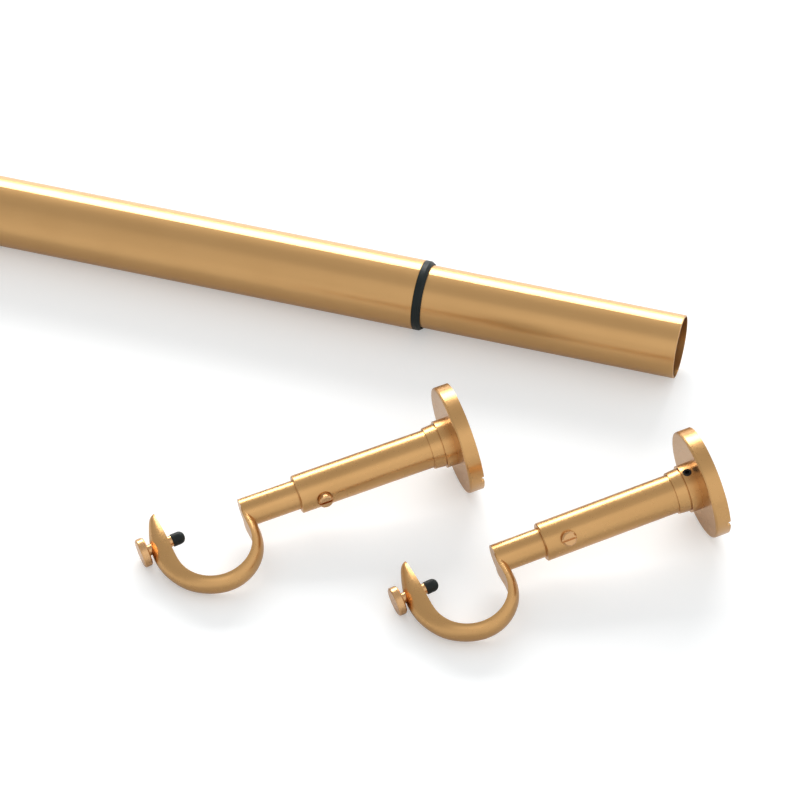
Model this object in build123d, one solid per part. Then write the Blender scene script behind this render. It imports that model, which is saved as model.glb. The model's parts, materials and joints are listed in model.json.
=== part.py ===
from build123d import *

import math
import os

# Telescoping rod, along X, with its open end at +X
outer_radius = 12.7
outer_wall = 0.6
outer_length = 660.0
inner_radius = 11.5
inner_wall = 0.6
inner_length = 640.0
shown_length = 93.0
tube_edge = 0.2

# Black bush in the mouth of the outer tube
collar_length = 3.0
collar_slope = 1.1
sleeve_length = 28.0

# Glide on the hidden end of the inner tube
glide_rim = 2.5
glide_spigot = 12.0
glide_wall = 1.2

# Clearances, each on the radius or along one axis
press_gap = 0.04
running_gap = 0.08
thread_gap = 0.05
hidden_gap = 0.3

# Bracket: wall plate and its screws, along X from the wall
plate_radius = 17.0
plate_thickness = 2.2
wall_hole_circle = 23.0
wall_hole_radius = 2.1
countersink_depth = 1.0
centre_screw_radius = 2.0
centre_screw_length = 8.5
centre_head_radius = 3.6
centre_head_height = 1.4

# Bracket: round cover with its rim, and the stepped collar on the post
cover_radius = 19.3
cover_depth = 5.4
cover_wall = 1.2
cover_edge = 0.7
notch_radius = 1.3
collar_step_radius = 8.45
collar_step_length = 3.9
collar_groove_width = 0.45
collar_groove_depth = 0.4
collar_ring_radius = 7.7
collar_ring_end_radius = 7.4
collar_ring_length = 3.8
grub_radius = 1.5
grub_socket_radius = 0.8
grub_socket_depth = 1.0

# Bracket: post, its plug and the screw that locks the stem
post_radius = 6.8
post_end = 62.0
post_edge = 0.35
plug_length = 8.0
stem_radius = 5.2
lock_from_mouth = 8.3
lock_shank_radius = 1.6
lock_head_radius = 2.6
lock_head_height = 2.6
lock_head_edge = 0.5
lock_seat_depth = 0.6
lock_slot_width = 0.9
lock_slot_depth = 1.1

# Bracket: stem and hook in one piece
stem_length = 58.0
stem_chamfer = 0.4
cradle_radius = 13.4
cradle_drop = 10.1
strap_width = 9.2
strap_thickness = 3.5
lip_thickness = 6.4
lip_lean = 4.0
lip_height = 22.8
tip_taper_length = 13.0
tip_end_share = 0.985
tip_power = 0.5
swell_start = 55.0

# Bracket: thumb screw through the lip, and its rubber tip
screw_height = 9.9
screw_shank_radius = 1.9
screw_spigot_radius = 1.3
screw_spigot_length = 2.6
screw_shown_inside = 1.5
screw_neck = 1.2
knob_radius = 5.1
knob_thickness = 2.8
knob_edge = 0.4
rubber_radius = 2.25
rubber_length = 4.6
rubber_dome = 2.1

# Where each bracket lies: wall centre from the rod's mouth, heading of its post, stem shown,
# turn of the lock screw and turn of the collar's grub screw about the post
BRACKETS = {
    "1": {"x": 34.9, "y": -68.6, "heading": 214.9, "stem_shown": 19.9, "lock_turn": 14.0, "grub_turn": 268.0},
    "2": {"x": 120.7, "y": -65.9, "heading": 216.0, "stem_shown": 17.0, "lock_turn": 43.0, "grub_turn": 95.0},
}

# Sizes that follow from the ones above
outer_bore = outer_radius - outer_wall
inner_bore = inner_radius - inner_wall
open_end = collar_length + shown_length
hidden_end = open_end - inner_length
post_bore = stem_radius + running_gap
collar_start = cover_depth
collar_ring_start = collar_start + collar_step_length + collar_groove_width
collar_end = collar_ring_start + collar_ring_length
grub_place = collar_start + collar_step_length / 2
lock_place = post_end - lock_from_mouth
lock_seat_radius = lock_head_radius + hidden_gap
lock_head_floor = post_radius - lock_seat_depth


def ring(outer, inner, start, end):
    """A plain ring about X between two stations."""
    length = end - start
    blank = Cylinder(outer, length) - Cylinder(inner, length)
    return Plane.YZ.offset((start + end) / 2).location * blank


def rod(radius, start, end):
    """A plain round bar about X between two stations."""
    return Plane.YZ.offset((start + end) / 2).location * Cylinder(radius, end - start)


def turned(points):
    """A solid turned about X from an outline of (station, radius) points."""
    outline = Polyline(*[(x, 0, r) for x, r in points], close=True)
    return revolve(make_face(outline), Axis.X)


def tube(outer, inner, start, end):
    """A tube about X with broken outer edges."""
    return turned([
        (start, inner),
        (start, outer - tube_edge),
        (start + tube_edge, outer),
        (end - tube_edge, outer),
        (end, outer - tube_edge),
        (end, inner),
    ])


def make_outer_tube():
    return tube(outer_radius, outer_bore, -outer_length, 0.0)


def make_mouth_bush():
    """Collar flush with the tube, sloped towards the inner tube, on a sleeve inside the mouth."""
    bore = inner_radius + running_gap
    collar_foot = bore + (outer_radius - bore) * 0.4
    return turned([
        (-sleeve_length, bore),
        (-sleeve_length, outer_bore - press_gap),
        (0.0, outer_bore - press_gap),
        (0.0, outer_radius),
        (collar_length - collar_slope, outer_radius),
        (collar_length, collar_foot),
        (collar_length, bore),
    ])


def make_inner_tube():
    return tube(inner_radius, inner_bore, hidden_end, open_end)


def make_inner_glide():
    """Rim that runs in the outer tube, on a spigot pressed into the inner tube."""
    spigot = inner_bore - press_gap
    return turned([
        (hidden_end - glide_rim, spigot - glide_wall),
        (hidden_end - glide_rim, outer_bore - running_gap - tube_edge),
        (hidden_end - glide_rim + tube_edge, outer_bore - running_gap),
        (hidden_end, outer_bore - running_gap),
        (hidden_end, spigot),
        (hidden_end + glide_spigot, spigot),
        (hidden_end + glide_spigot, spigot - glide_wall),
    ])


def across_post(angle, start, end, radius):
    """A round bar square to the post, reaching outwards from start to end; angle 0 is below."""
    bar = Pos(0, 0, -(start + end) / 2) * Cylinder(radius, end - start)
    return Rot(X=angle) * bar


def make_wall_plate():
    plate = rod(plate_radius, 0.0, plate_thickness)
    plate -= rod(centre_screw_radius + thread_gap, -1.0, plate_thickness + 1.0)
    plate -= turned([
        (0.0, 0.0),
        (0.0, centre_head_radius + thread_gap),
        (centre_head_height + thread_gap, centre_screw_radius + thread_gap),
        (centre_head_height + thread_gap, 0.0),
    ])
    for side in (-1, 1):
        hole = rod(wall_hole_radius, -1.0, plate_thickness + 1.0)
        sink = turned([
            (plate_thickness, 0.0),
            (plate_thickness, wall_hole_radius + countersink_depth),
            (plate_thickness - countersink_depth, wall_hole_radius),
            (plate_thickness - countersink_depth, 0.0),
        ])
        plate -= Pos(0, side * wall_hole_circle / 2, 0) * (hole + sink)
    return plate


def make_centre_screw():
    """Countersunk screw from the wall side into the plug."""
    return turned([
        (0.0, 0.0),
        (0.0, centre_head_radius),
        (centre_head_height, centre_screw_radius),
        (centre_screw_length, centre_screw_radius),
        (centre_screw_length, 0.0),
    ])


def make_post_plug():
    plug = rod(post_bore - press_gap, plate_thickness, plate_thickness + plug_length)
    return plug - rod(centre_screw_radius + thread_gap, 0.0, centre_screw_length + hidden_gap)


def make_flange_cover():
    """Shallow cup over the wall plate, with a small notch in the back of its rim."""
    hole = post_radius + hidden_gap
    inside = cover_radius - cover_wall
    cup = turned([
        (0.0, inside),
        (0.0, cover_radius),
        (cover_depth - cover_edge, cover_radius),
        (cover_depth - cover_edge * 0.3, cover_radius - cover_edge * 0.3),
        (cover_depth, cover_radius - cover_edge),
        (cover_depth, hole),
        (cover_depth - cover_wall, hole),
        (cover_depth - cover_wall, inside),
    ])
    return cup - across_post(0.0, plate_radius, cover_radius + 1.0, notch_radius)


def make_base_collar(grub_turn):
    """Stepped collar: a plain ring, a fine groove and a tapered ring, bored to slide on the post."""
    bore = post_radius + running_gap
    groove_floor = collar_ring_radius - collar_groove_depth
    collar = turned([
        (collar_start, bore),
        (collar_start, collar_step_radius),
        (collar_start + collar_step_length, collar_step_radius),
        (collar_start + collar_step_length, groove_floor),
        (collar_ring_start, groove_floor),
        (collar_ring_start, collar_ring_radius),
        (collar_end, collar_ring_end_radius),
        (collar_end, bore),
    ])
    hole = across_post(grub_turn, 0.0, collar_step_radius + 1.0, grub_radius + thread_gap)
    return collar - Pos(grub_place, 0, 0) * hole


def make_grub_screw(turn):
    bar = across_post(turn, post_radius + hidden_gap, collar_step_radius, grub_radius)
    socket_floor = collar_step_radius - grub_socket_depth
    socket = across_post(turn, socket_floor, collar_step_radius + 1.0, grub_socket_radius)
    return Pos(grub_place, 0, 0) * (bar - socket)


def make_post_tube(lock_turn):
    post = turned([
        (plate_thickness, post_bore),
        (plate_thickness, post_radius),
        (post_end - post_edge, post_radius),
        (post_end, post_radius - post_edge),
        (post_end, post_bore + post_edge),
        (post_end - post_edge, post_bore),
    ])
    hole = across_post(lock_turn, 0.0, post_radius + 1.0, lock_shank_radius + thread_gap)
    seat = across_post(lock_turn, lock_head_floor, post_radius + 1.0, lock_seat_radius)
    return post - Pos(lock_place, 0, 0) * (hole + seat)


def make_lock_screw(lock_turn):
    """Round-headed screw in a spot-faced seat, with a slot across its head."""
    top = lock_head_floor + lock_head_height
    shank = across_post(lock_turn, stem_radius + hidden_gap, lock_head_floor + 0.5, lock_shank_radius)
    head = Cylinder(lock_head_radius, lock_head_height)
    head = chamfer(head.faces().sort_by(Axis.Z)[0].edges(), lock_head_edge)
    slot = Pos(0, 0, -lock_head_height / 2) * Box(2 * lock_head_radius + 1.0, lock_slot_width, 2 * lock_slot_depth)
    head = Rot(X=lock_turn) * (Pos(0, 0, -(lock_head_floor + top) / 2) * (head - slot))
    return Pos(lock_place, 0, 0) * (shank + head)


def strap_station(distance):
    """Place and heading of the hook's inner face, a distance along it from the stem's centre line.

    The face runs straight down, round the cradle and straight up the lip.
    """
    sweep = math.radians(180.0 - lip_lean)
    arc_length = cradle_radius * sweep
    if distance <= cradle_drop:
        return Vector(0, 0, -distance), Vector(0, 0, -1)
    turn = min(distance - cradle_drop, arc_length) / cradle_radius
    centre = Vector(cradle_radius, 0, -cradle_drop)
    point = centre + Vector(-math.cos(turn), 0, -math.sin(turn)) * cradle_radius
    heading = Vector(math.sin(turn), 0, -math.cos(turn))
    return point + heading * max(distance - cradle_drop - arc_length, 0.0), heading


def strap_size(distance):
    """Width and thickness of the strap: it swells towards the lip and tapers to a leaf-shaped tip."""
    arc_end = cradle_drop + cradle_radius * math.radians(180.0 - lip_lean)
    tip = arc_end + lip_height
    swell_from = arc_end - cradle_radius * math.radians(swell_start)
    share = min(max((distance - swell_from) / (arc_end + 2.0 - swell_from), 0.0), 1.0)
    swell = share * share * (3.0 - 2.0 * share)
    thickness = strap_thickness + (lip_thickness - strap_thickness) * swell
    left_to_tip = min(tip - distance, tip_taper_length) / tip_taper_length
    taper = left_to_tip**tip_power
    return strap_width * taper, thickness * taper


def strap_section(distance):
    """Section across the strap: flat inside, half round outside."""
    point, heading = strap_station(distance)
    width, thickness = strap_size(distance)
    across = Plane(origin=point, x_dir=(0, 1, 0), z_dir=heading)
    flat = Line((width / 2, 0), (-width / 2, 0))
    back = EllipticalCenterArc((0, 0), width / 2, thickness, start_angle=180, arc_size=180)
    return across * make_face(flat + back)


def strap_stations():
    """Distances along the strap at which its sections stand."""
    arc_length = cradle_radius * math.radians(180.0 - lip_lean)
    arc_end = cradle_drop + arc_length
    around = [cradle_drop + arc_length * k / 6 for k in range(7)]
    taper_from = arc_end + lip_height - tip_taper_length
    shares = [1.0 - (1.0 - k / 4) ** 2 for k in range(1, 4)] + [tip_end_share]
    return [0.0] + around + [taper_from] + [taper_from + tip_taper_length * share for share in shares]


def screw_frame(stem_end):
    """Frame of the thumb screw: origin on the lip's inner face, Z pointing into the cradle."""
    arc_end = cradle_drop + cradle_radius * math.radians(180.0 - lip_lean)
    point, heading = strap_station(arc_end + screw_height)
    inward = Vector(-heading.Z, 0, heading.X)
    return Plane(origin=point + Vector(stem_end, 0, 0), x_dir=(0, 1, 0), z_dir=inward)


def lip_thickness_at_screw():
    arc_end = cradle_drop + cradle_radius * math.radians(180.0 - lip_lean)
    return strap_size(arc_end + screw_height)[1]


def make_arm(stem_end):
    """Round stem that ends flush with the hook's flat inner face."""
    stem = turned([
        (stem_end - stem_length, 0.0),
        (stem_end - stem_length, stem_radius - stem_chamfer),
        (stem_end - stem_length + stem_chamfer, stem_radius),
        (stem_end, stem_radius),
        (stem_end, 0.0),
    ])
    strap = Pos(stem_end, 0, 0) * loft([strap_section(distance) for distance in strap_stations()])
    hole_depth = 3 * lip_thickness
    hole = screw_frame(stem_end).location * Cylinder(screw_shank_radius + running_gap, hole_depth)
    return stem + strap - hole


def stacked(frame, steps):
    """Round steps about the frame's Z, each given as (radius, low, high)."""
    whole = None
    for radius, low, high in steps:
        step = Pos(0, 0, (low + high) / 2) * Cylinder(radius, high - low)
        whole = step if whole is None else whole + step
    return frame.location * whole


def make_thumb_screw(stem_end):
    """Flat round knob on a threaded shank, with a spigot for the rubber tip."""
    knob_face = -(lip_thickness_at_screw() + screw_neck)
    knob = Pos(0, 0, knob_face - knob_thickness / 2) * Cylinder(knob_radius, knob_thickness)
    knob = chamfer(knob.edges().filter_by(GeomType.CIRCLE), knob_edge)
    shank = stacked(Plane.XY, [
        (screw_shank_radius, knob_face - knob_edge, screw_shown_inside),
        (screw_spigot_radius, screw_shown_inside, screw_shown_inside + screw_spigot_length),
    ])
    return screw_frame(stem_end).location * (knob + shank)


def make_rubber_tip(stem_end):
    """Domed rubber cap over the end of the thumb screw."""
    base = screw_shown_inside + running_gap
    cap = Pos(0, 0, base + rubber_length / 2) * Cylinder(rubber_radius, rubber_length)
    cap = fillet(cap.edges().filter_by(GeomType.CIRCLE).sort_by(Axis.Z)[-1], rubber_dome)
    pocket_depth = screw_spigot_length + running_gap
    pocket = Pos(0, 0, base + pocket_depth / 2) * Cylinder(screw_spigot_radius + running_gap, pocket_depth)
    return screw_frame(stem_end).location * (cap - pocket)


def support_heights(along, up, stem_end):
    """Heights of the cover's rim, the knob and the hook above a floor whose normal is
    (along, side, up) in the bracket's own frame, each measured from the frame's origin."""
    side = math.sqrt(1.0 - along**2 - up**2)
    rim = cover_depth * along - cover_radius * math.hypot(side, up)
    knob_plane = screw_frame(stem_end).offset(-(lip_thickness_at_screw() + screw_neck))
    reach = math.sqrt(1.0 - (along * knob_plane.z_dir.X + up * knob_plane.z_dir.Z) ** 2)
    knob = knob_plane.origin.X * along + knob_plane.origin.Z * up - knob_radius * reach
    flat = math.hypot(along, up)
    hook = (stem_end + cradle_radius) * along - cradle_drop * up - cradle_radius * flat
    hook -= math.hypot(strap_thickness * flat, strap_width / 2 * side)
    return rim, knob, hook


def lying_normal(stem_end):
    """The floor's normal in the bracket's frame when it lies on rim, knob and hook."""
    low, high = 0.0, 0.6
    along = 0.0
    for _ in range(40):
        up = (low + high) / 2
        for _ in range(20):
            rim, knob, hook = support_heights(along, up, stem_end)
            along -= (knob - rim) / (stem_end + 2 * cradle_radius)
        low, high = (up, high) if hook > rim else (low, up)
    return along, up


def lying_frame(place):
    """Frame of a bracket that lies on its side on the floor, before it is let down."""
    stem_end = post_end + place["stem_shown"]
    along, up = lying_normal(stem_end)
    level = math.sqrt(1.0 - along**2)
    heading = math.radians(place["heading"])
    out = Vector(level * math.cos(heading), level * math.sin(heading), along)
    aside = out.cross(Vector(0, 0, 1)).normalized()
    above = aside.cross(out)
    roll = math.asin(up / level)
    upward = aside * math.cos(roll) + above * math.sin(roll)
    return Plane(origin=(place["x"], place["y"], 0), x_dir=out, z_dir=upward)


def make_bracket(place):
    """Every piece of one bracket in its own frame, X out from the wall and Z up the wall."""
    stem_end = post_end + place["stem_shown"]
    return {
        "wall_plate": make_wall_plate(),
        "centre_screw": make_centre_screw(),
        "post_plug": make_post_plug(),
        "post_tube": make_post_tube(place["lock_turn"]),
        "lock_screw": make_lock_screw(place["lock_turn"]),
        "flange_cover": make_flange_cover(),
        "base_collar": make_base_collar(place["grub_turn"]),
        "grub_screw": make_grub_screw(place["grub_turn"]),
        "hook_arm": make_arm(stem_end),
        "thumb_screw": make_thumb_screw(stem_end),
        "rubber_tip": make_rubber_tip(stem_end),
    }


def lay_down(pieces, frame):
    """Moves pieces into a frame and lets them down until the lowest touches the floor."""
    placed = {name: frame.location * piece for name, piece in pieces.items()}
    drop = min(piece.bounding_box().min.Z for piece in placed.values())
    down = Pos(0, 0, -drop)
    return {name: down * piece for name, piece in placed.items()}, down * frame.location


def main():
    """Builds every piece, centres the whole on the origin and writes one file for each."""
    pieces = {
        "outer_tube": make_outer_tube(),
        "mouth_bush": make_mouth_bush(),
        "inner_tube": make_inner_tube(),
        "inner_glide": make_inner_glide(),
    }
    lift = Pos(0, 0, outer_radius)
    pieces = {name: lift * piece for name, piece in pieces.items()}
    frames = {"rod": lift}
    for number, place in BRACKETS.items():
        placed, frames[number] = lay_down(make_bracket(place), lying_frame(place))
        pieces.update({f"{name}_{number}": piece for name, piece in placed.items()})
    boxes = [piece.bounding_box() for piece in pieces.values()]
    middle_x = (min(box.min.X for box in boxes) + max(box.max.X for box in boxes)) / 2
    middle_y = (min(box.min.Y for box in boxes) + max(box.max.Y for box in boxes)) / 2
    centre = Pos(-middle_x, -middle_y, 0)
    os.makedirs("parts", exist_ok=True)
    for name, piece in pieces.items():
        export_step(centre * piece, f"parts/{name}.step")
    return {name: centre * frame for name, frame in frames.items()}


if __name__ == "__main__":
    main()
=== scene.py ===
import json
import logging
import math
from dataclasses import dataclass, field
from enum import Enum

import bmesh
import bpy
from mathutils import Matrix, Vector


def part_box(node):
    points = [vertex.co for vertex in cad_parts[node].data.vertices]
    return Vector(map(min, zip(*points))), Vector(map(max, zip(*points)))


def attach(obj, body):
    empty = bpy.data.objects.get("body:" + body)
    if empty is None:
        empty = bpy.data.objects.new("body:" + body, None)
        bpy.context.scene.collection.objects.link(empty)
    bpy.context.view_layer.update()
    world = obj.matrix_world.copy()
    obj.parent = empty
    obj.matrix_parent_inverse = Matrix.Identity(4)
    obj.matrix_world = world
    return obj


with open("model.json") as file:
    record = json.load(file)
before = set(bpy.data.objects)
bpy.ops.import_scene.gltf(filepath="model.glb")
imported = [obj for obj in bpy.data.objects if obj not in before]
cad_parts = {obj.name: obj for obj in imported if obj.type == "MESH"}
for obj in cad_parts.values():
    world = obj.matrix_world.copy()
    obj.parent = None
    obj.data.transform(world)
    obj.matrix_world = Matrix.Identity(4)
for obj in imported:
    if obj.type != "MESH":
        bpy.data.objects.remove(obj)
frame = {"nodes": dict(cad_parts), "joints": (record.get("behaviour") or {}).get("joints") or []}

MM = 0.001
LOG = logging.getLogger("curtain_rod")
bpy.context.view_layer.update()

TINT_PER_METRE = 55.0
TINT_DETAIL = 4.0
GRAIN_DETAIL = 2.0
COAT_ROUGHNESS = 0.18
SHARP_DEGREES = 32.0
THREAD_SHARP_DEGREES = 50.0
THREAD_STEPS_PER_TURN = 28
THREAD_FOOT_SHARE = 0.42
THREAD_WALL = 0.05 * MM
FLOOR_DROP = 0.05 * MM
FLOOR_ROUGHNESS = 0.6
FLOOR_TINT_PER_METRE = 3.0


class Grain(Enum):
    """How the fine marks of a finish run."""

    ALONG_ROD = (0.02, 1.0, 1.0)
    EVEN = (1.0, 1.0, 1.0)


@dataclass(frozen=True)
class Finish:
    """One surface finish, worked out from procedural noise in the object's own coordinates.

    Args:
        name: The material's name.
        dark: Linear colour where the tint's noise is low.
        light: Linear colour where the tint's noise is high.
        metallic: How metallic the surface is.
        rough_low: Lowest roughness.
        rough_high: Highest roughness.
        grain: How the fine marks run.
        grain_per_metre: How fine the marks are.
        grain_height: Depth of the marks in metres.
        coat: Weight of a clear lacquer.
        slot: Name of the record's slot for the finish; not used.
        shine: Strength of a non-metal's reflection.
    """

    name: str
    dark: tuple[float, float, float]
    light: tuple[float, float, float]
    metallic: float
    rough_low: float
    rough_high: float
    grain: Grain
    grain_per_metre: float
    grain_height: float
    coat: float
    slot: str
    shine: float = 0.5

    def material(self) -> bpy.types.Material:
        """Makes the finish's material, or finds the one already made.

        Returns:
            The material.
        """
        found = bpy.data.materials.get(self.name)
        if found is not None:
            return found
        made = bpy.data.materials.new(self.name)
        made.use_nodes = True
        nodes, links = made.node_tree.nodes, made.node_tree.links
        shader = nodes["Principled BSDF"]
        shader.inputs["Metallic"].default_value = self.metallic
        shader.inputs["Specular IOR Level"].default_value = self.shine
        shader.inputs["Coat Weight"].default_value = self.coat
        shader.inputs["Coat Roughness"].default_value = COAT_ROUGHNESS
        place = nodes.new("ShaderNodeTexCoord")
        self._tint(nodes, links, place, shader)
        self._marks(nodes, links, place, shader)
        return made

    def _tint(self, nodes: bpy.types.Nodes, links: bpy.types.NodeLinks,
              place: bpy.types.Node, shader: bpy.types.Node) -> None:
        """Mixes the two colours by a broad noise.

        Args:
            nodes: The material's nodes.
            links: The material's links.
            place: The texture coordinate node.
            shader: The surface shader.
        """
        cloud = nodes.new("ShaderNodeTexNoise")
        cloud.inputs["Scale"].default_value = TINT_PER_METRE
        cloud.inputs["Detail"].default_value = TINT_DETAIL
        mix = nodes.new("ShaderNodeMix")
        mix.data_type = "RGBA"
        mix.inputs["A"].default_value = (*self.dark, 1.0)
        mix.inputs["B"].default_value = (*self.light, 1.0)
        links.new(place.outputs["Object"], cloud.inputs["Vector"])
        links.new(cloud.outputs["Fac"], mix.inputs["Factor"])
        links.new(mix.outputs["Result"], shader.inputs["Base Color"])

    def _marks(self, nodes: bpy.types.Nodes, links: bpy.types.NodeLinks,
               place: bpy.types.Node, shader: bpy.types.Node) -> None:
        """Lets a fine noise vary the roughness and raise the surface a little.

        Args:
            nodes: The material's nodes.
            links: The material's links.
            place: The texture coordinate node.
            shader: The surface shader.
        """
        stretch = nodes.new("ShaderNodeMapping")
        stretch.inputs["Scale"].default_value = self.grain.value
        fine = nodes.new("ShaderNodeTexNoise")
        fine.inputs["Scale"].default_value = self.grain_per_metre
        fine.inputs["Detail"].default_value = GRAIN_DETAIL
        spread = nodes.new("ShaderNodeMapRange")
        spread.inputs["To Min"].default_value = self.rough_low
        spread.inputs["To Max"].default_value = self.rough_high
        bump = nodes.new("ShaderNodeBump")
        bump.inputs["Distance"].default_value = self.grain_height
        links.new(place.outputs["Object"], stretch.inputs["Vector"])
        links.new(stretch.outputs["Vector"], fine.inputs["Vector"])
        links.new(fine.outputs["Fac"], spread.inputs["Value"])
        links.new(spread.outputs["Result"], shader.inputs["Roughness"])
        links.new(fine.outputs["Fac"], bump.inputs["Height"])
        links.new(bump.outputs["Normal"], shader.inputs["Normal"])

    def dress(self, piece: bpy.types.Object) -> None:
        """Puts the finish on a piece.

        Args:
            piece: The object to dress.
        """
        piece.data.materials.clear()
        piece.data.materials.append(self.material())


ROD_GOLD = Finish("rod gold", (0.60, 0.345, 0.135), (0.66, 0.39, 0.16), 1.0, 0.27, 0.36,
                  Grain.ALONG_ROD, 1600.0, 0.0000015, 0.12, "rod_gold")
BRACKET_GOLD = Finish("bracket gold", (0.56, 0.315, 0.12), (0.65, 0.38, 0.155), 1.0, 0.24, 0.34,
                      Grain.EVEN, 900.0, 0.0000015, 0.10, "rod_gold")
SCREW_BRASS = Finish("screw brass", (0.62, 0.36, 0.17), (0.70, 0.42, 0.20), 1.0, 0.22, 0.32,
                     Grain.EVEN, 900.0, 0.000002, 0.0, "brass")
BLACK_PLASTIC = Finish("black plastic", (0.006, 0.010, 0.010), (0.012, 0.018, 0.018), 0.0, 0.35, 0.5,
                       Grain.EVEN, 2200.0, 0.000008, 0.0, "black_plastic", 0.2)
BLACK_RUBBER = Finish("black rubber", (0.008, 0.012, 0.012), (0.016, 0.022, 0.022), 0.0, 0.42, 0.58,
                      Grain.EVEN, 1900.0, 0.00001, 0.0, "black_rubber", 0.2)
BLACK_STEEL = Finish("blackened steel", (0.010, 0.010, 0.010), (0.020, 0.020, 0.020), 0.6, 0.3, 0.45,
                     Grain.EVEN, 2400.0, 0.000004, 0.0, "black_steel")
ZINC_STEEL = Finish("zinc plated steel", (0.50, 0.51, 0.50), (0.64, 0.65, 0.63), 1.0, 0.28, 0.42,
                    Grain.EVEN, 900.0, 0.000006, 0.0, "steel")


def node(name: str) -> bpy.types.Object:
    """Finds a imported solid.

    Args:
        name: The solid's name.

    Returns:
        Its object.
    """
    return frame["nodes"][name]


def smooth(piece: bpy.types.Object, sharp_degrees: float = SHARP_DEGREES) -> None:
    """Shades a piece smooth, except over edges sharper than the angle.

    Args:
        piece: The object to shade.
        sharp_degrees: Angle from which an edge stays sharp.
    """
    for face in piece.data.polygons:
        face.use_smooth = True
    edges = bmesh.new()
    edges.from_mesh(piece.data)
    limit = math.radians(sharp_degrees)
    for edge in edges.edges:
        edge.smooth = len(edge.link_faces) == 2 and edge.calc_face_angle(0.0) < limit
    edges.to_mesh(piece.data)
    edges.free()


def piece_from(shape: bmesh.types.BMesh, name: str, matrix: Matrix) -> bpy.types.Object:
    """Turns a shape into an object at the origin, with its place in its vertices.

    Args:
        shape: The shape in its own frame, freed here.
        name: The object's name.
        matrix: Where the shape's own frame stands.

    Returns:
        The object.
    """
    bmesh.ops.recalc_face_normals(shape, faces=shape.faces)
    bmesh.ops.transform(shape, matrix=matrix, verts=shape.verts)
    mesh = bpy.data.meshes.new(name)
    shape.to_mesh(mesh)
    shape.free()
    piece = bpy.data.objects.new(name, mesh)
    bpy.context.scene.collection.objects.link(piece)
    return piece


@dataclass
class Rod:
    """The telescoping rod: two tubes, the bush in the mouth and the hidden glide.

    Args:
        tubes: Solids in the rod's finish.
        plastics: Solids in black plastic.
    """

    tubes: tuple[str, ...] = ("outer_tube", "inner_tube")
    plastics: tuple[str, ...] = ("mouth_bush", "inner_glide")

    def dress(self) -> None:
        """Puts the finishes on the rod's solids."""
        for name in self.tubes:
            ROD_GOLD.dress(node(name))
            LOG.info("dressed %s", name)
        for name in self.plastics:
            BLACK_PLASTIC.dress(node(name))
            LOG.info("dressed %s", name)

    def mouth(self) -> Vector:
        """Finds the middle of the outer tube's mouth, on the rod's axis.

        Returns:
            The point.
        """
        low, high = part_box("outer_tube")
        return Vector((high.x, (low.y + high.y) / 2, (low.z + high.z) / 2))


@dataclass
class Bracket:
    """One wall bracket, with the threads that its screw shows.

    Args:
        number: The bracket's number, as in its solids' names.
        thread_pitch: Rise of the thumb screw's thread in a turn.
        thread_depth: Height of the thread's ridge.
        thread_radius: Radius of the ridge's foot, just inside the shank.
        thread_turns: How many turns the ridge makes, from the knob to the ball tip.
        knob_thickness: Distance between the knob's two faces.
        gold: Solids in the rod's finish.
        steel: Hidden solids in plain steel.
        finishes: Finish of each other solid.
    """

    number: str
    thread_pitch: float = 0.7 * MM
    thread_depth: float = 0.10 * MM
    thread_radius: float = 1.87 * MM
    thread_turns: float = 12.0
    knob_thickness: float = 2.8 * MM
    gold: tuple[str, ...] = ("flange_cover", "base_collar", "post_tube", "hook_arm")
    steel: tuple[str, ...] = ("wall_plate", "centre_screw", "post_plug")
    finishes: dict[str, Finish] = field(default_factory=lambda: {
        "lock_screw": SCREW_BRASS,
        "thumb_screw": SCREW_BRASS,
        "rubber_tip": BLACK_RUBBER,
        "grub_screw": BLACK_STEEL,
    })

    def dress(self) -> None:
        """Puts the finishes on the bracket's solids."""
        choice = {name: BRACKET_GOLD for name in self.gold}
        choice |= {name: ZINC_STEEL for name in self.steel}
        choice |= self.finishes
        for name, finish in choice.items():
            finish.dress(node(f"{name}_{self.number}"))
            LOG.info("dressed %s_%s", name, self.number)

    def screw_axis(self) -> tuple[Vector, Vector]:
        """Finds the thumb screw's hinge.

        Returns:
            A point on its axis and its direction, into the cradle.
        """
        for joint in frame["joints"]:
            if joint["name"] == f"knob_turn_{self.number}":
                return Vector(joint["pos_m"]), Vector(joint["axis"]).normalized()
        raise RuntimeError(f"bracket {self.number} has no knob_turn joint")

    def thread(self) -> None:
        """Winds the ridge of the thumb screw's thread round its shank, from the knob to the ball tip."""
        start, axis = self.screw_axis()
        knob = node(f"thumb_screw_{self.number}")
        behind = min((vertex.co - start).dot(axis) for vertex in knob.data.vertices)
        across = axis.orthogonal().normalized()
        ridge = bmesh.new()
        half = self.thread_pitch * THREAD_FOOT_SHARE
        inner, outer = self.thread_radius, self.thread_radius + self.thread_depth
        corners = [(inner, -half), (outer, 0.0), (inner, half)]
        points = [ridge.verts.new((radius, 0.0, height)) for radius, height in corners]
        sides = [ridge.edges.new(pair) for pair in zip(points, points[1:])]
        steps = int(self.thread_turns * THREAD_STEPS_PER_TURN)
        bmesh.ops.spin(
            ridge,
            geom=[*points, *sides],
            cent=(0.0, 0.0, 0.0),
            axis=(0.0, 0.0, 1.0),
            dvec=(0.0, 0.0, self.thread_pitch * self.thread_turns / steps),
            angle=math.tau * self.thread_turns,
            steps=steps,
            use_merge=False,
            use_duplicate=False,
        )
        bmesh.ops.solidify(ridge, geom=ridge.faces[:], thickness=-THREAD_WALL)
        turn = Matrix((across, axis.cross(across), axis)).transposed().to_4x4()
        foot = start + axis * (behind + self.knob_thickness + half)
        piece = piece_from(ridge, f"thumb_screw_thread_{self.number}", Matrix.Translation(foot) @ turn)
        smooth(piece, THREAD_SHARP_DEGREES)
        SCREW_BRASS.dress(piece)
        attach(piece, f"knob_{self.number}")
        LOG.info("made %s", piece.name)


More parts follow.
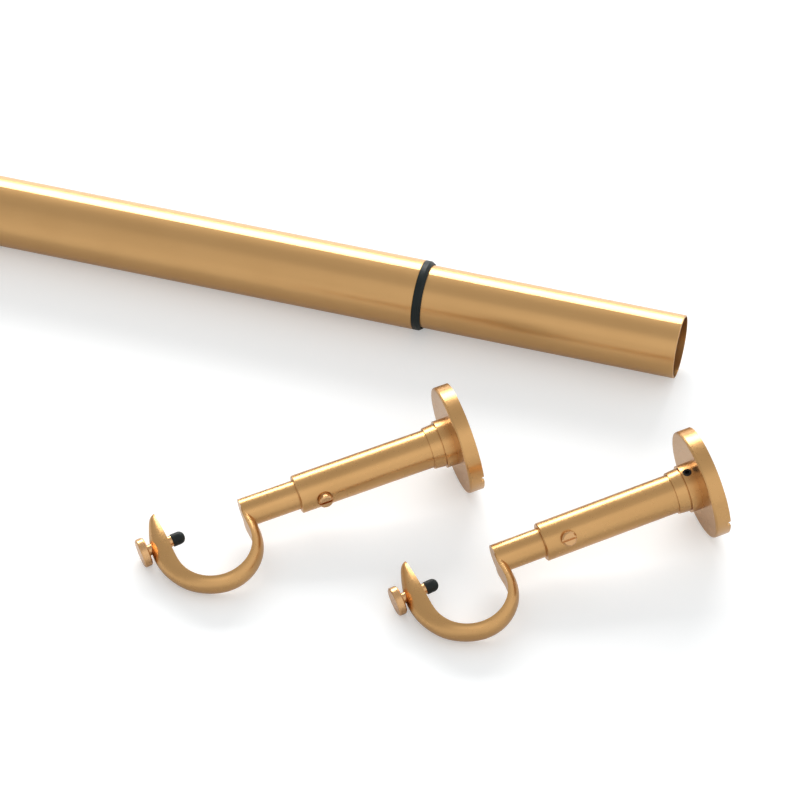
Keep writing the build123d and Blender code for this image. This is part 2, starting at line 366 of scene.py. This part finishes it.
@dataclass
class Studio:
    """White floor, soft light and the camera at the photograph's angle.

    Args:
        rod_mouth: Middle of the outer tube's mouth.
        elevation: How far the camera looks down, in degrees.
        azimuth: How far it looks aside, in degrees.
        distance: Its distance from the point it looks at.
        aim_along: That point's distance past the mouth, along the rod.
        aim_aside: Its distance from the rod's axis.
        lens: The camera's focal length in millimetres.
        floor_half: Half the floor's side in metres.
        floor_glow: The floor's own light, as the camera sees it.
        floor_glow_reflected: The floor's own light, as the pieces see it.
        sky_light: Strength of the sky away from its dark side.
        sky_dark: Strength of the sky's dark side.
        sky_fade: Where the sky starts and stops darkening.
        dark_side: Direction of the dark side.
    """

    rod_mouth: Vector
    elevation: float = 47.18
    azimuth: float = -15.62
    distance: float = 1500.3 * MM
    aim_along: float = 3.71 * MM
    aim_aside: float = -40.33 * MM
    lens: float = 189.8
    floor_half: float = 6.0
    floor_glow: float = 0.27
    floor_glow_reflected: float = 0.0
    sky_light: float = 1.0
    sky_dark: float = 0.6
    sky_fade: tuple[float, float] = (-0.2, 0.9)
    dark_side: tuple[float, float, float] = (-0.72, 0.10, 0.69)

    def aim(self) -> Vector:
        """Finds the point of the floor that the camera looks at.

        Returns:
            The point.
        """
        return Vector((self.rod_mouth.x + self.aim_along, self.rod_mouth.y + self.aim_aside, 0.0))

    def camera(self) -> None:
        """Stands the camera where the photograph was taken from."""
        up_angle, side_angle = math.radians(self.elevation), math.radians(self.azimuth)
        forward = Vector((
            math.cos(up_angle) * math.sin(side_angle),
            math.cos(up_angle) * math.cos(side_angle),
            -math.sin(up_angle),
        ))
        right = Vector((math.cos(side_angle), -math.sin(side_angle), 0.0))
        up = right.cross(forward)
        lens = bpy.data.cameras.new("camera")
        lens.lens = self.lens
        lens.sensor_width = 36.0
        lens.clip_start = 0.05
        lens.clip_end = 50.0
        eye = bpy.data.objects.new("camera", lens)
        turn = Matrix((right, up, -forward)).transposed().to_4x4()
        eye.matrix_world = Matrix.Translation(self.aim() - forward * self.distance) @ turn
        bpy.context.scene.collection.objects.link(eye)
        bpy.context.scene.camera = eye

    def floor(self) -> None:
        """Lays the white floor."""
        shape = bmesh.new()
        bmesh.ops.create_grid(shape, x_segments=1, y_segments=1, size=self.floor_half)
        floor = piece_from(shape, "floor", Matrix.Translation((0.0, 0.0, -FLOOR_DROP)))
        paint = bpy.data.materials.new("white floor")
        paint.use_nodes = True
        nodes, links = paint.node_tree.nodes, paint.node_tree.links
        shader = nodes["Principled BSDF"]
        shader.inputs["Roughness"].default_value = FLOOR_ROUGHNESS
        shader.inputs["Emission Color"].default_value = (0.97, 1.0, 1.0, 1.0)
        rays = nodes.new("ShaderNodeLightPath")
        glow = nodes.new("ShaderNodeMapRange")
        glow.inputs["To Min"].default_value = self.floor_glow_reflected
        glow.inputs["To Max"].default_value = self.floor_glow
        links.new(rays.outputs["Is Camera Ray"], glow.inputs["Value"])
        links.new(glow.outputs["Result"], shader.inputs["Emission Strength"])
        place = nodes.new("ShaderNodeTexCoord")
        cloud = nodes.new("ShaderNodeTexNoise")
        cloud.inputs["Scale"].default_value = FLOOR_TINT_PER_METRE
        mix = nodes.new("ShaderNodeMix")
        mix.data_type = "RGBA"
        mix.inputs["A"].default_value = (0.79, 0.80, 0.81, 1.0)
        mix.inputs["B"].default_value = (0.80, 0.81, 0.82, 1.0)
        links.new(place.outputs["Object"], cloud.inputs["Vector"])
        links.new(cloud.outputs["Fac"], mix.inputs["Factor"])
        links.new(mix.outputs["Result"], shader.inputs["Base Color"])
        floor.data.materials.append(paint)

    def lamp(self, name: str, offset: tuple[float, float, float], size: tuple[float, float],
             power: float, colour: tuple[float, float, float]) -> None:
        """Hangs one soft light that points at the object.

        Args:
            name: The lamp's name.
            offset: Its place from the point the camera looks at.
            size: Its width and height.
            power: Its power in watts.
            colour: Its colour.
        """
        light = bpy.data.lights.new(name, "AREA")
        light.shape = "RECTANGLE"
        light.size, light.size_y = size
        light.energy = power
        light.color = colour
        lamp = bpy.data.objects.new(name, light)
        lamp.location = self.aim() + Vector(offset)
        lamp.rotation_mode = "QUATERNION"
        lamp.rotation_quaternion = (self.aim() - lamp.location).to_track_quat("-Z", "Y")
        bpy.context.scene.collection.objects.link(lamp)

    def light(self) -> None:
        """Sets the soft sky and the lamps."""
        world = bpy.data.worlds.new("studio")
        world.use_nodes = True
        nodes, links = world.node_tree.nodes, world.node_tree.links
        sky = nodes["Background"]
        sky.inputs["Color"].default_value = (1.0, 1.0, 1.0, 1.0)
        where = nodes.new("ShaderNodeTexCoord")
        towards = nodes.new("ShaderNodeVectorMath")
        towards.operation = "DOT_PRODUCT"
        towards.inputs[1].default_value = self.dark_side
        fade = nodes.new("ShaderNodeMapRange")
        fade.interpolation_type = "SMOOTHSTEP"
        fade.inputs["From Min"].default_value = self.sky_fade[0]
        fade.inputs["From Max"].default_value = self.sky_fade[1]
        fade.inputs["To Min"].default_value = self.sky_light
        fade.inputs["To Max"].default_value = self.sky_dark
        links.new(where.outputs["Generated"], towards.inputs[0])
        links.new(towards.outputs["Value"], fade.inputs["Value"])
        links.new(fade.outputs["Result"], sky.inputs["Strength"])
        bpy.context.scene.world = world
        self.lamp("back light", (-0.6, 1.7, 0.9), (2.2, 0.75), 44.0, (1.0, 0.99, 0.97))
        self.lamp("front light", (0.3, -1.4, 1.6), (1.6, 1.4), 2.2, (1.0, 1.0, 1.0))

    def colours(self) -> None:
        """Shows colours as they are, without a film curve."""
        scene = bpy.context.scene
        scene.view_settings.view_transform = "Standard"
        scene.view_settings.look = "None"
        scene.view_settings.exposure = 0.0

    def build(self) -> None:
        """Makes the whole studio."""
        self.floor()
        self.light()
        self.camera()
        self.colours()
        LOG.info("made the studio")


def main() -> None:
    """Dresses the rod and its brackets, then stages them."""
    logging.basicConfig(level=logging.INFO, format="%(message)s")
    rod = Rod()
    rod.dress()
    for number in ("1", "2"):
        bracket = Bracket(number)
        bracket.dress()
        bracket.thread()
    Studio(rod.mouth()).build()


if __name__ == "__main__":
    main()
